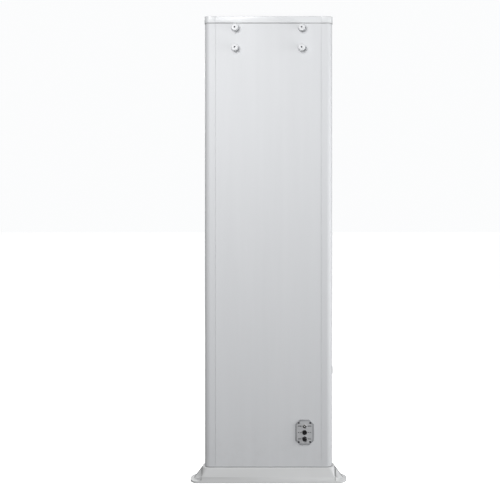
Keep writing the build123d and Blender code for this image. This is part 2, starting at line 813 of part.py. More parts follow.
# place from the board's lower left corner, then width, height and thickness
chip_sizes = (
    (32.0, 112.0, 26.0, 18.0, 5.0),
    (72.0, 112.0, 26.0, 18.0, 5.0),
    (112.0, 112.0, 26.0, 18.0, 5.0),
    (52.0, 40.0, 34.0, 34.0, 4.0),
    (106.0, 42.0, 18.0, 30.0, 12.0),
    (134.0, 42.0, 18.0, 30.0, 12.0),
)
with BuildPart() as board_parts:
    for chip_x, chip_z, chip_w, chip_h, chip_t in chip_sizes:
        with BuildSketch(outward(board_x0 + chip_x, board_z0 + chip_z, -board_y)):
            Rectangle(chip_w, chip_h)
        extrude(amount=chip_t)
    # blocks that the ribbon, the header lead and the supply lead plug into
    with BuildSketch(outward(board_x0 + block_l / 2, block_z, -board_y)):
        Rectangle(block_l, block_h)
    extrude(amount=board_y + former_t / 2 + ribbon_t)
    with BuildSketch(inward(board_x0 + block_l / 2, block_z, board_y + board_t)):
        Rectangle(block_l, block_h)
    extrude(amount=block_t)
    with BuildSketch(outward(board_x1 - block_l / 2, plate_z, -board_y)):
        Rectangle(block_l, block_h)
    extrude(amount=block_t)
save(board_parts, "board_parts")

with BuildPart() as header_lead:
    with BuildLine(Plane.XZ.offset(-harness_y)) as lead_path:
        FilletPolyline(
            (board_x0, block_z),
            (harness_x, block_z),
            (harness_x, harness_top),
            (0, harness_top),
            (0, knob_mid_z - backshell_h / 2),
            radius=[harness_bend, harness_bend, harness_bend * 0.8],
        )
    with BuildSketch(Plane(origin=lead_path.line @ 0, z_dir=lead_path.line % 0)):
        Circle(harness_r)
    sweep(path=lead_path.line)
save(header_lead, "header_lead")

# ================================================================ service plate
with BuildPart() as service_box:
    with BuildSketch(outward(plate_x, plate_z, half_t - box_depth)):
        octagon(box_w, box_h, box_corner)
    extrude(amount=box_depth)
    with BuildSketch(outward(plate_x, plate_z, core_half - box_wall)):
        octagon(box_w + 2 * box_flange, box_h + 2 * box_flange, box_corner + box_flange)
    extrude(amount=box_wall)
    with BuildSketch(outward(plate_x, plate_z, half_t - box_depth + box_wall)):
        octagon(box_w - 2 * box_wall, box_h - 2 * box_wall, box_corner)
    extrude(amount=box_depth, mode=Mode.SUBTRACT)
    with BuildSketch(outward(plate_x, plate_z, half_t - plate_screw_l)):
        with screw_places():
            Circle(box_boss_r)
    extrude(amount=plate_screw_l)
    with BuildSketch(outward(plate_x, plate_z, half_t - plate_screw_l)):
        with screw_places():
            Circle(plate_screw_r + run_fit)
    extrude(amount=plate_screw_l, mode=Mode.SUBTRACT)
    # hole for the supply lead, in the side that faces the board
    with BuildSketch(Plane.YZ.offset(plate_x - box_w / 2)):
        with Locations((0, plate_z)):
            Circle(supply_r + slip_fit)
    extrude(amount=box_wall, mode=Mode.SUBTRACT)
save(service_box, "service_box")

with BuildPart() as plate_gasket:
    with BuildSketch(outward(plate_x, plate_z, half_t)):
        octagon(plate_w - 1, plate_h - 1, plate_corner)
        octagon(box_w - 2 * box_wall, box_h - 2 * box_wall, box_corner, mode=Mode.SUBTRACT)
        with screw_places():
            Circle(box_boss_r)
            Circle(plate_screw_r + run_fit, mode=Mode.SUBTRACT)
    extrude(amount=gasket_t)
save(plate_gasket, "plate_gasket")

with BuildPart() as service_plate:
    with BuildSketch(outward(plate_x, plate_z, plate_back)):
        octagon(plate_w, plate_h, plate_corner)
        with Locations((0, device_pitch)):
            Circle(switch_bush_r + run_fit, mode=Mode.SUBTRACT)
        Circle(socket_r + run_fit, mode=Mode.SUBTRACT)
        with Locations((0, -device_pitch)):
            Circle(fuse_tube_r + run_fit, mode=Mode.SUBTRACT)
        with screw_places():
            Circle(plate_screw_r + run_fit, mode=Mode.SUBTRACT)
    extrude(amount=plate_t)
    chamfer(service_plate.faces().sort_by(Axis.Y)[0].outer_wire().edges(), 0.6)
save(service_plate, "service_plate")

with BuildPart() as service_label:
    with BuildSketch(outward(plate_x, plate_z, label_face - label_t)):
        octagon(
            plate_w - 2 * label_border,
            plate_h - 2 * label_border,
            inset_corner(plate_corner, label_border),
        )
        with Locations((0, device_pitch)):
            Circle(switch_bush_r + run_fit, mode=Mode.SUBTRACT)
        Circle(socket_r + run_fit, mode=Mode.SUBTRACT)
        with Locations((0, -device_pitch)):
            Circle(fuse_tube_r + run_fit, mode=Mode.SUBTRACT)
        with screw_places():
            Circle(plate_screw_head_r + slip_fit, mode=Mode.SUBTRACT)
    extrude(amount=label_t)
save(service_label, "service_label")

with BuildPart() as plate_screws:
    with Locations(outward(plate_x, plate_z, plate_back + plate_t)):
        with screw_places():
            pan_screw(plate_screw_head_r, plate_screw_head_h, plate_screw_r, plate_screw_l)
save(plate_screws, "plate_screws")

# ================================================================ toggle switch
switch_z = plate_z + device_pitch
pivot_y = -(label_face + lever_pivot)
across_pivot = Plane(origin=(plate_x, pivot_y, switch_z), x_dir=(0, 1, 0), z_dir=(1, 0, 0))

with BuildPart() as switch_body:
    with BuildSketch(outward(plate_x, switch_z, plate_back - switch_d)):
        RectangleRounded(switch_w, switch_h, 1.5)
    extrude(amount=switch_d)
    with BuildSketch(outward(plate_x, switch_z, plate_back)):
        Circle(switch_bush_r)
    extrude(amount=label_face - plate_back + switch_bush_l)
    with BuildSketch(outward(plate_x, switch_z, label_face + switch_bush_l)):
        Circle(switch_bore_r)
    extrude(amount=-(switch_bush_l - lever_pivot + lever_ball_r + slip_fit), mode=Mode.SUBTRACT)
    with BuildSketch(outward(plate_x, switch_z, plate_back - switch_d)):
        with GridLocations(1, switch_h / 3, 1, 3):
            Rectangle(5, 1)
    extrude(amount=-6)
    with BuildSketch(across_pivot):
        Circle(lever_pin_r)
    extrude(amount=switch_bush_r - 0.5, both=True)
save(switch_body, "switch_body")

with BuildPart() as switch_nut:
    with BuildSketch(outward(plate_x, switch_z, label_face)):
        RegularPolygon(switch_nut_af / 2, 6, major_radius=False)
        Circle(switch_bush_r + run_fit, mode=Mode.SUBTRACT)
    extrude(amount=switch_nut_t)
    chamfer(switch_nut.faces().sort_by(Axis.Y)[0].outer_wire().edges(), 0.5)
save(switch_nut, "switch_nut")

pivot_plane = Plane(origin=(plate_x, pivot_y, switch_z), x_dir=(1, 0, 0), z_dir=(0, -1, 0))
lever_plane = pivot_plane.rotated((-lever_tilt, 0, 0))
ball_top = (lever_ball_r**2 - lever_root_r**2) ** 0.5    # where the lever leaves its ball
tip_root = lever_l - lever_tip_r
with BuildPart() as switch_lever:
    with BuildSketch(
        Plane(origin=lever_plane.origin, x_dir=lever_plane.x_dir, z_dir=-lever_plane.y_dir)
    ):
        with BuildLine():
            Line((0, -lever_ball_r), (0, lever_l))
            RadiusArc((0, -lever_ball_r), (lever_ball_r, 0), -lever_ball_r)
            RadiusArc((lever_ball_r, 0), (lever_root_r, ball_top), -lever_ball_r)
            Line((lever_root_r, ball_top), (lever_tip_r, tip_root))
            RadiusArc((lever_tip_r, tip_root), (0, lever_l), -lever_tip_r)
        make_face()
    revolve(axis=Axis(lever_plane.origin, lever_plane.z_dir))
    with BuildSketch(across_pivot):
        Circle(lever_pin_r + run_fit)
    extrude(amount=lever_ball_r, both=True, mode=Mode.SUBTRACT)
save(switch_lever, "switch_lever")

# ================================================================ power socket
with BuildPart() as power_socket:
    with BuildSketch(outward(plate_x, plate_z, label_face)):
        Circle(socket_flange_r)
    extrude(amount=socket_flange_t)
    chamfer(power_socket.faces().sort_by(Axis.Y)[0].edges(), 0.6)
    with BuildSketch(outward(plate_x, plate_z, label_face - socket_rear)):
        Circle(socket_r)
    extrude(amount=socket_rear)
    with BuildSketch(outward(plate_x, plate_z, label_face - socket_rear)):
        Circle(socket_bore_r)
    extrude(amount=socket_rear + socket_flange_t, mode=Mode.SUBTRACT)
save(power_socket, "power_socket")

socket_insert_l = socket_rear + socket_flange_t - socket_recess
with BuildPart() as socket_insert:
    with BuildSketch(outward(plate_x, plate_z, label_face - socket_rear)):
        Circle(socket_bore_r)
    extrude(amount=socket_insert_l)
    with BuildSketch(outward(plate_x, plate_z, label_face - socket_rear)):
        with PolarLocations(contact_pitch_r, 3, 90):
            Circle(contact_r)
    extrude(amount=socket_insert_l, mode=Mode.SUBTRACT)
save(socket_insert, "socket_insert")

with BuildPart() as socket_contacts:
    with BuildSketch(outward(plate_x, plate_z, label_face - socket_rear - 6)):
        with PolarLocations(contact_pitch_r, 3, 90):
            Circle(contact_r)
    extrude(amount=socket_insert_l)
save(socket_contacts, "socket_contacts")

# ================================================================ fuse holder
fuse_z = plate_z - device_pitch
fuse_flange_face = label_face + fuse_flange_t
fuse_ring_back = fuse_flange_face + face_gap
fuse_cap_back = fuse_ring_back + fuse_ring_t + face_gap

with BuildPart() as fuse_holder:
    with BuildSketch(outward(plate_x, fuse_z, label_face)):
        Circle(fuse_flange_r)
    extrude(amount=fuse_flange_t)
    with BuildSketch(outward(plate_x, fuse_z, label_face - fuse_rear)):
        Circle(fuse_tube_r)
    extrude(amount=fuse_rear)
    with BuildSketch(outward(plate_x, fuse_z, label_face - fuse_rear + fuse_end_t)):
        Circle(fuse_bore_r)
    extrude(amount=fuse_rear, mode=Mode.SUBTRACT)
save(fuse_holder, "fuse_holder")

with BuildPart() as fuse_link:
    with BuildSketch(outward(plate_x, fuse_z, label_face - fuse_rear + fuse_end_t)):
        Circle(fuse_link_r)
    extrude(amount=fuse_link_l)
save(fuse_link, "fuse_link")

with BuildPart() as fuse_ring:
    with BuildSketch(outward(plate_x, fuse_z, fuse_ring_back)):
        Circle(fuse_ring_r)
        Circle(fuse_bore_r, mode=Mode.SUBTRACT)
    extrude(amount=fuse_ring_t)
save(fuse_ring, "fuse_ring")

with BuildPart() as fuse_cap:
    with BuildSketch(outward(plate_x, fuse_z, fuse_cap_back)):
        Circle(fuse_cap_r)
    extrude(amount=fuse_cap_l)
    chamfer(fuse_cap.faces().sort_by(Axis.Y)[0].edges(), 0.8)
    with BuildSketch(outward(plate_x, fuse_z, fuse_cap_back + fuse_cap_l)):
        Rectangle(2 * fuse_cap_r, fuse_slot_w)
    extrude(amount=-fuse_slot_depth, mode=Mode.SUBTRACT)
    with BuildSketch(outward(plate_x, fuse_z, fuse_cap_back - fuse_neck_l)):
        Circle(fuse_bore_r - run_fit)
        Circle(fuse_link_r + slip_fit, mode=Mode.SUBTRACT)
    extrude(amount=fuse_neck_l)
save(fuse_cap, "fuse_cap")

# ================================================================ supply lead, inside the panel
supply_l = plate_x - box_w / 2 + box_wall - board_x1
with BuildPart() as supply_lead:
    with BuildSketch(Plane.YZ.offset(board_x1)):
        with Locations((0, plate_z)):
            Circle(supply_r)
    extrude(amount=supply_l)
save(supply_lead, "supply_lead")

# ================================================================ bumper
with BuildPart() as edge_bumper:
    with BuildSketch(Plane.YZ.offset(panel_w / 2)):
        with Locations((0, bumper_z)):
            RectangleRounded(bumper_w, bumper_h, 4)
    extrude(amount=bumper_t)
    fillet(edge_bumper.faces().sort_by(Axis.X)[-1].edges(), 1.2)
save(edge_bumper, "edge_bumper")
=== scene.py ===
# %% [markdown]
# # The side panel of a walk-through security gate
#
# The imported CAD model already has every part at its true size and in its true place: two face
# sheets between two upright edge profiles, a cap, a base shoe with an ear at each end, four
# captive hand knobs and a service plate. This file dresses that model. Parts whose shape is
# right keep their CAD mesh, sometimes as a copy with softened edges. Parts whose charm is in
# fine detail, such as the fluted knobs and the threaded studs, are modelled again in place.

import json
import math

import bmesh
import bpy
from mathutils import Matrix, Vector


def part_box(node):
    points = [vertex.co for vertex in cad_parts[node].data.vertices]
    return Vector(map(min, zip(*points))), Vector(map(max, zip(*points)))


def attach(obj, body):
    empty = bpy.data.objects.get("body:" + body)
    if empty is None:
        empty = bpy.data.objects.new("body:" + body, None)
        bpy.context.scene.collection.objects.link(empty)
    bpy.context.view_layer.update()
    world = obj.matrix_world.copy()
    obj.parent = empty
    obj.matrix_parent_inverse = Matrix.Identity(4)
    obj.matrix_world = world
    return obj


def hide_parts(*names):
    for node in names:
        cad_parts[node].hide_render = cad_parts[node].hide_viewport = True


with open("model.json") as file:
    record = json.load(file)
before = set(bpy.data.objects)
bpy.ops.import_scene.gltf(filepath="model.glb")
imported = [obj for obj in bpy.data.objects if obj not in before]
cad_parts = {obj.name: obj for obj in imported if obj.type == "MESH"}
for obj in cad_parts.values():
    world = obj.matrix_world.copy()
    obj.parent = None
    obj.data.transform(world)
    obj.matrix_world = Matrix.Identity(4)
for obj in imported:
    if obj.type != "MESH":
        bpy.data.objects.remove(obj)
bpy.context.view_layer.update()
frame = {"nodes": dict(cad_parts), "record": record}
nodes = frame["nodes"]
body_of_node = {n: body for body, names in frame["record"]["behaviour"]["bodies"].items() for n in names}
slot_of_node = {entry["node"]: entry["material_slot"] for entry in frame["record"]["subparts"]}

# %% [markdown]
# ## Camera
#
# Product pictures of tall things are taken with a level camera and a shifted lens, so that the
# uprights stay parallel. The eye stands a little to the right of the panel and at about two
# thirds of its height: the knobs are seen slightly from below and the shoe from above.
# The distance sets how much of the shoe's top shows. The focal length then follows from the
# width of the view, measured in the plane of the outer face.

# %% Place the camera
MM = 0.001
SENSOR = 36.0                    # width of the sensor, in millimetres
outer_face_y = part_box("outer_face_sheet")[0].y
view_distance = 3.5              # from the outer face
eye = Vector((0.159, outer_face_y - view_distance, 1.4735))
view_width = 2.36                # width of the view, in the plane of the outer face
lens_shift = (-0.104, -0.16)     # as shares of the view's width

camera_data = bpy.data.cameras.new("gate_camera")
camera_data.sensor_width = SENSOR
camera_data.lens = SENSOR * view_distance / view_width
camera_data.shift_x, camera_data.shift_y = lens_shift
camera_data.clip_end = 100
camera = bpy.data.objects.new("gate_camera", camera_data)
camera.location = eye
camera.rotation_euler = (math.radians(90), 0, 0)
bpy.context.scene.collection.objects.link(camera)
bpy.context.scene.camera = camera
print("lens", round(camera_data.lens, 1), "mm")

# %% [markdown]
# ## Floor and light
#
# A pale floor and a pale surround keep attention on the panel. The panel is a satin grey, so
# its shading comes almost wholly from what it faces: a large soft lamp high in front makes the
# top of the sheet the lightest part, and the tone falls away towards the shoe. A weaker lamp
# at the right puts the bright line on that edge profile, and the surround, which is black at
# the left, keeps the other one darker. A third lamp lights the back. The floor glows, so that
# it shows as one even white, but it is hidden from diffuse and glossy rays, so that the glow
# doesn't brighten the shoe.

# %% Build the floor and the lamps
FLOOR_SIZE = 14.0
FLOOR_GLOW = 0.85
SURROUND_BLACK = -0.45           # X of the direction where the surround starts to brighten
SURROUND_BRIGHT = 0.9            # and of the direction where it is at its brightest
SURROUND_STRENGTH = 0.52
scene = bpy.context.scene
scene.view_settings.view_transform = "Standard"
scene.view_settings.look = "None"

floor_mesh = bpy.data.meshes.new("studio_floor")
floor_edit = bmesh.new()
bmesh.ops.create_grid(floor_edit, x_segments=1, y_segments=1, size=FLOOR_SIZE)
floor_edit.to_mesh(floor_mesh)
floor_edit.free()
floor = bpy.data.objects.new("studio_floor", floor_mesh)
scene.collection.objects.link(floor)
floor.visible_diffuse = False
floor.visible_glossy = False

world = bpy.data.worlds.new("studio_world")
scene.world = world
world.use_nodes = True
backdrop = world.node_tree.nodes["Background"]
backdrop.inputs["Color"].default_value = (0.97, 0.975, 0.98, 1)
backdrop.inputs["Strength"].default_value = 1.0
surround = world.node_tree.nodes.new("ShaderNodeBackground")
direction = world.node_tree.nodes.new("ShaderNodeTexCoord").outputs["Generated"]
across = world.node_tree.nodes.new("ShaderNodeSeparateXYZ")
world.node_tree.links.new(direction, across.inputs["Vector"])
side_light = world.node_tree.nodes.new("ShaderNodeMapRange")
side_light.inputs["From Min"].default_value = SURROUND_BLACK
side_light.inputs["From Max"].default_value = SURROUND_BRIGHT
side_light.inputs["To Min"].default_value = 0.0
side_light.inputs["To Max"].default_value = SURROUND_STRENGTH
world.node_tree.links.new(across.outputs["X"], side_light.inputs["Value"])
world.node_tree.links.new(side_light.outputs["Result"], surround.inputs["Strength"])
surround.inputs["Color"].default_value = (0.97, 0.985, 1.0, 1)
seen = world.node_tree.nodes.new("ShaderNodeLightPath").outputs["Is Camera Ray"]
choose = world.node_tree.nodes.new("ShaderNodeMixShader")
world.node_tree.links.new(seen, choose.inputs["Fac"])
world.node_tree.links.new(surround.outputs[0], choose.inputs[1])
world.node_tree.links.new(backdrop.outputs[0], choose.inputs[2])
world.node_tree.links.new(choose.outputs[0], world.node_tree.nodes["World Output"].inputs["Surface"])


def area_lamp(name, place, aim, size, power):
    """A soft rectangular lamp that points at a place; its size in metres and its power in watts."""
    data = bpy.data.lights.new(name, "AREA")
    data.shape = "RECTANGLE"
    data.size, data.size_y = size
    data.energy = power
    lamp = bpy.data.objects.new(name, data)
    lamp.location = place
    lamp.rotation_euler = (Vector(aim) - Vector(place)).to_track_quat("-Z", "Y").to_euler()
    scene.collection.objects.link(lamp)


area_lamp("key_lamp", (-1.0, -3.5, 2.7), (0.0, 0.0, 1.7), (1.9, 1.9), 154)
area_lamp("edge_lamp", (2.6, -0.5, 1.1), (0.3, 0.0, 1.0), (0.5, 2.6), 54)
area_lamp("back_lamp", (-1.2, 3.0, 2.6), (0.0, 0.0, 1.2), (2.4, 2.0), 85)
print("three lamps and a graded surround")

# %% [markdown]
# ## How the materials are made
#
# Every finish here is procedural, and starts from the same few ingredients: Object coordinates
# in metres, so that a grain has a true size, noise textures of one or two scales, and a bump
# from the finest of them. Small helpers keep each recipe short. What is the same all over a
# surface is set on the shader itself, and only what varies arrives through a link.

# %% Material helpers
def start_material(name, roughness, metallic=0.0, coat=0.0):
    """A material with a Principled shader; returns the material, its tree, shader and coordinates."""
    material = bpy.data.materials.new(name)
    material.use_nodes = True
    tree = material.node_tree
    shader = tree.nodes["Principled BSDF"]
    shader.inputs["Roughness"].default_value = roughness
    shader.inputs["Metallic"].default_value = metallic
    shader.inputs["Coat Weight"].default_value = coat
    coordinates = tree.nodes.new("ShaderNodeTexCoord").outputs["Object"]
    return material, tree, shader, coordinates


def stretched(tree, coordinates, scale):
    """Coordinates scaled along each axis, for a pattern that runs along one of them."""
    mapping = tree.nodes.new("ShaderNodeMapping")
    mapping.inputs["Scale"].default_value = scale
    tree.links.new(coordinates, mapping.inputs["Vector"])
    return mapping.outputs["Vector"]


def noise(tree, coordinates, scale, detail=2.0, roughness=0.5):
    """Noise in the range 0 to 1, with its scale in cycles a metre."""
    texture = tree.nodes.new("ShaderNodeTexNoise")
    texture.inputs["Scale"].default_value = scale
    texture.inputs["Detail"].default_value = detail
    texture.inputs["Roughness"].default_value = roughness
    tree.links.new(coordinates, texture.inputs["Vector"])
    return texture.outputs["Fac"]


def spread(tree, value, low, high, to_low=0.0, to_high=1.0):
    """A value mapped from one range to another, and held inside it."""
    remap = tree.nodes.new("ShaderNodeMapRange")
    remap.inputs["From Min"].default_value = low
    remap.inputs["From Max"].default_value = high
    remap.inputs["To Min"].default_value = to_low
    remap.inputs["To Max"].default_value = to_high
    tree.links.new(value, remap.inputs["Value"])
    return remap.outputs["Result"]


def blend_colours(tree, factor, first, second):
    """A mix of two colours, or of linked colours, by a factor."""
    mix = tree.nodes.new("ShaderNodeMix")
    mix.data_type = "RGBA"
    tree.links.new(factor, mix.inputs["Factor"])
    for socket, colour in ((mix.inputs["A"], first), (mix.inputs["B"], second)):
        if isinstance(colour, tuple):
            socket.default_value = (*colour, 1)
        else:
            tree.links.new(colour, socket)
    return mix.outputs["Result"]


def add_bump(tree, shader, height, distance, strength=1.0, below=None):
    """Bump from a height, in metres, on top of another bump's normal if one is given."""
    bump = tree.nodes.new("ShaderNodeBump")
    bump.inputs["Strength"].default_value = strength
    bump.inputs["Distance"].default_value = distance
    tree.links.new(height, bump.inputs["Height"])
    if below is not None:
        tree.links.new(below, bump.inputs["Normal"])
    tree.links.new(bump.outputs["Normal"], shader.inputs["Normal"])
    return bump.outputs["Normal"]


def moulded(name, colour, darker, roughness, grain=900.0, depth=0.00004, mottle=9.0, coat=0.0):
    """Moulded or extruded plastic: an even colour, a soft mottle and a fine grain."""
    material, tree, shader, coordinates = start_material(name, roughness, coat=coat)
    cloud = spread(tree, noise(tree, coordinates, mottle, 3.0), 0.3, 0.7)
    tree.links.new(blend_colours(tree, cloud, darker, colour), shader.inputs["Base Color"])
    fine = noise(tree, coordinates, grain, 2.0)
    uneven = spread(tree, fine, 0.3, 0.7, roughness - 0.04, roughness + 0.04)
    tree.links.new(uneven, shader.inputs["Roughness"])
    add_bump(tree, shader, fine, depth)
    return material


def metal(name, colour, roughness, brush=(1.0, 1.0, 1.0), grain=1500.0, depth=0.00001):
    """Bare or plated metal, with its brushing stretched along an axis."""
    material, tree, shader, coordinates = start_material(name, roughness, metallic=1.0)
    shader.inputs["Base Color"].default_value = (*colour, 1)
    lines = noise(tree, stretched(tree, coordinates, brush), grain, 2.0)
    uneven = spread(tree, lines, 0.25, 0.75, roughness * 0.7, roughness * 1.4)
    tree.links.new(uneven, shader.inputs["Roughness"])
    add_bump(tree, shader, lines, depth)
    return material


# %% [markdown]
# ## The grey of the panel
#
# The sheets and profiles are rigid PVC with a satin skin. A perfectly even grey looks like a
# drawing, so three things are laid over it: a very faint long mottle that runs up the sheet as
# extrusion leaves it, a fine orange-peel bump that breaks up the highlight, and a slightly
# dirtier band near the floor, where shoes and mops reach. On the shoe, shade is painted into the
# colour: a dark line of painted shade runs down each end, where an ear begins, and the narrow gap
# between the two plates of each gusset is painted black in place of its shade.

# %% Panel materials
EAR_LENGTH = 58.0                # beyond the upright end of the shoe, in millimetres
SHOE_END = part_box("base_shoe")[1].x - EAR_LENGTH * MM
GAP_HALF = 5.4 * MM              # from the middle plane to just past a gusset plate's inner face
PLATE_REACH = 41.0 * MM          # from the end of the shoe to the feet of the plates
END_SHADE_STRENGTH = 0.7                  # how dark the painted shade lies down the ends of the shoe


def combine(tree, operation, first, second=None):
    """A Math node's result, from one or two linked values."""
    maths = tree.nodes.new("ShaderNodeMath")
    maths.operation = operation
    tree.links.new(first, maths.inputs[0])
    if second is not None:
        tree.links.new(second, maths.inputs[1])
    return maths.outputs[0]


def panel_plastic(name, clean, dull, dark_tone, roughness):
    """Satin PVC with a vertical draw, an orange-peel skin and a soiled foot."""
    material, tree, shader, coordinates = start_material(name, roughness)
    shader.inputs["Specular IOR Level"].default_value = 0.3
    draw = noise(tree, stretched(tree, coordinates, (22.0, 22.0, 1.2)), 1.0, 3.0)
    base = blend_colours(tree, spread(tree, draw, 0.3, 0.7), dull, clean)
    height = tree.nodes.new("ShaderNodeSeparateXYZ")
    tree.links.new(coordinates, height.inputs["Vector"])
    low_down = spread(tree, height.outputs["Z"], 0.06, 0.32, 1.0, 0.0)
    patches = spread(tree, noise(tree, coordinates, 14.0, 5.0, 0.65), 0.5, 0.95, 0.0, 0.45)
    soiling = combine(tree, "MULTIPLY", low_down, patches)
    tree.links.new(blend_colours(tree, soiling, base, dark_tone), shader.inputs["Base Color"])
    peel = noise(tree, coordinates, 260.0, 1.0)
    uneven = spread(tree, peel, 0.3, 0.7, roughness - 0.03, roughness + 0.05)
    tree.links.new(uneven, shader.inputs["Roughness"])
    first = add_bump(tree, shader, peel, 0.00006)
    add_bump(tree, shader, noise(tree, coordinates, 1400.0, 2.0), 0.00002, below=first)
    return material


def shoe_plastic(name, colour, darker, dark_tone, roughness):
    """Moulded plastic, with painted shade: black between the gusset plates and a dark line down the ends of
    the shoe.
    """
    material = moulded(name, colour, darker, roughness, grain=700.0, depth=0.00008)
    tree = material.node_tree
    shader = tree.nodes["Principled BSDF"]
    place = tree.nodes.new("ShaderNodeSeparateXYZ")
    tree.links.new(tree.nodes.new("ShaderNodeTexCoord").outputs["Object"], place.inputs["Vector"])
    from_middle = combine(tree, "ABSOLUTE", place.outputs["X"])
    from_plates = combine(tree, "ABSOLUTE", place.outputs["Y"])
    plates_end = SHOE_END + PLATE_REACH
    # Painted shade: the gap between the gusset plates is coloured near-black, where it is only in shade.
    in_gap = spread(tree, from_plates, GAP_HALF - 0.2 * MM, GAP_HALF + 0.2 * MM, 1.0, 0.0)
    for limits in ((SHOE_END, SHOE_END + 2 * MM, 0.0, 1.0), (plates_end - MM, plates_end + MM, 1.0, 0.0)):
        in_gap = combine(tree, "MULTIPLY", in_gap, spread(tree, from_middle, *limits))
    # Painted shade: a dark line down each end of the shoe, between the ear and the rim.
    in_line = combine(tree, "MULTIPLY", spread(tree, from_middle, SHOE_END, SHOE_END + MM),
                      spread(tree, from_middle, SHOE_END + 3 * MM, SHOE_END + 9 * MM, END_SHADE_STRENGTH, 0.0))
    above_ear = spread(tree, place.outputs["Z"], 10.5 * MM, 20.0 * MM)
    below_rim = spread(tree, place.outputs["Z"], 48.0 * MM, 66.0 * MM, 1.0, 0.0)
    in_line = combine(tree, "MULTIPLY", in_line, combine(tree, "MULTIPLY", below_rim, above_ear))
    clean = shader.inputs["Base Color"].links[0].from_socket
    painted_shoe_shade = combine(tree, "MAXIMUM", in_gap, in_line)
    tree.links.new(blend_colours(tree, painted_shoe_shade, clean, dark_tone), shader.inputs["Base Color"])
    return material


sheet_finish = panel_plastic(
    "satin_pvc_sheet", (0.57, 0.578, 0.592), (0.555, 0.563, 0.577), (0.44, 0.44, 0.435), 0.5)
profile_finish = panel_plastic(
    "satin_pvc_profile", (0.56, 0.568, 0.582), (0.545, 0.553, 0.567), (0.42, 0.42, 0.415), 0.46)
cap_finish = moulded("cap_plastic", (0.60, 0.61, 0.62), (0.59, 0.60, 0.61), 0.4, coat=0.1)
# The last colour is the painted shade, near-black, for the gusset gaps and the ends of the shoe.
shoe_finish = shoe_plastic(
    "shoe_plastic", (0.57, 0.575, 0.578), (0.55, 0.555, 0.558), (0.05, 0.05, 0.048), 0.5)
knob_finish = moulded(
    "knob_plastic", (0.56, 0.568, 0.58), (0.545, 0.553, 0.565), 0.4, grain=1600.0, depth=0.00005)

# %% Small-part materials
finishes = {
    "sheet": sheet_finish,
    "profile": profile_finish,
    "cap": cap_finish,
    "shoe": shoe_finish,
    "knob_plastic": knob_finish,
    "rubber": moulded(
        "grey_rubber", (0.16, 0.165, 0.17), (0.12, 0.125, 0.13), 0.8, grain=1200.0, depth=0.0001),
    "steel": metal("zinc_plate", (0.62, 0.63, 0.64), 0.32),
    "dark_screw": moulded(
        "black_oxide", (0.035, 0.035, 0.04), (0.02, 0.02, 0.022), 0.35, grain=2500.0, depth=0.00002),
    "plug_plastic": moulded("filled_nylon", (0.16, 0.165, 0.17), (0.13, 0.135, 0.14), 0.55),
    "brass": metal("turned_brass", (0.80, 0.58, 0.26), 0.25, brush=(1.0, 12.0, 1.0)),
    "nylon": moulded("natural_nylon", (0.82, 0.81, 0.77), (0.78, 0.77, 0.73), 0.4),
    "stud_steel": metal("bright_zinc", (0.66, 0.67, 0.69), 0.28, brush=(1.0, 8.0, 1.0)),
    "black_plastic": moulded(
        "black_moulding", (0.016, 0.016, 0.018), (0.01, 0.01, 0.011), 0.16, grain=1800.0, depth=0.00003),
    "chrome": metal("chrome_plate", (0.45, 0.45, 0.455), 0.14, grain=2500.0, depth=0.000002),
    "switch_shell": metal("nickel_plate", (0.36, 0.35, 0.335), 0.24, brush=(1.0, 10.0, 1.0)),
    "plate_metal": moulded(
        "dark_powder_coat", (0.29, 0.295, 0.305), (0.265, 0.27, 0.28), 0.55, grain=1500.0, depth=0.00008),
    "label": moulded(
        "label_film", (0.42, 0.425, 0.435), (0.405, 0.41, 0.42), 0.42, grain=2200.0, depth=0.00002),
    "board": moulded("board_laminate", (0.03, 0.16, 0.07), (0.02, 0.12, 0.05), 0.3, mottle=60.0, coat=0.4),
    "chips": moulded("chip_epoxy", (0.03, 0.03, 0.03), (0.02, 0.02, 0.02), 0.5),
    "coil_wire": metal(
        "lacquered_copper", (0.62, 0.27, 0.10), 0.3, brush=(1.0, 30.0, 1.0), grain=400.0, depth=0.0002),
    "foam": moulded(
        "cell_foam", (0.80, 0.80, 0.77), (0.66, 0.66, 0.63), 0.9, grain=450.0, depth=0.0006, mottle=350.0),
    "lead_jacket": moulded("lead_jacket", (0.03, 0.03, 0.032), (0.02, 0.02, 0.021), 0.5),
}
floor_finish = moulded(
    "studio_floor", (0.86, 0.86, 0.855), (0.85, 0.85, 0.845), 0.75, grain=500.0, depth=0.00005, mottle=1.5)
floor_shader = floor_finish.node_tree.nodes["Principled BSDF"]
floor_shader.inputs["Emission Color"].default_value = (1.0, 1.0, 1.0, 1)
floor_shader.inputs["Emission Strength"].default_value = FLOOR_GLOW
floor.data.materials.append(floor_finish)

for name, cad_object in nodes.items():
    finish = finishes[slot_of_node[name]]
    if not cad_object.material_slots:
        cad_object.data.materials.append(finish)
    for material_slot in cad_object.material_slots:
        material_slot.material = finish
print(len(finishes), "finishes on", len(nodes), "nodes")

# %% [markdown]
# ## Softened copies of the moulded parts
#
# A moulded or bent edge is never a knife edge: it has a radius of half a millimetre or so, and
# that radius is what catches the light. A CAD mesh has no such line of light. Each visible part
# is therefore copied, the copy's doubles are merged and its flat triangles joined, and a Bevel
# modifier rounds only the edges that turn by more than a set angle. The bevel hardens its
# normals, so that the flats stay flat. The CAD part itself is hidden, and stays in the physics.

# %% Helpers for new pieces
SOFT_SEGMENTS = 2
SOFT_ANGLE = 30.0                # edges that turn by less stay as they are


def place_piece(piece, body, slot, finish, *stands_for):
    """Ride on a body, take a finish, and stand in for CAD nodes if any are named."""
    if not piece.data.materials:
        piece.data.materials.append(finish)
    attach(piece, body)
    if stands_for:
        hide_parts(*stands_for)


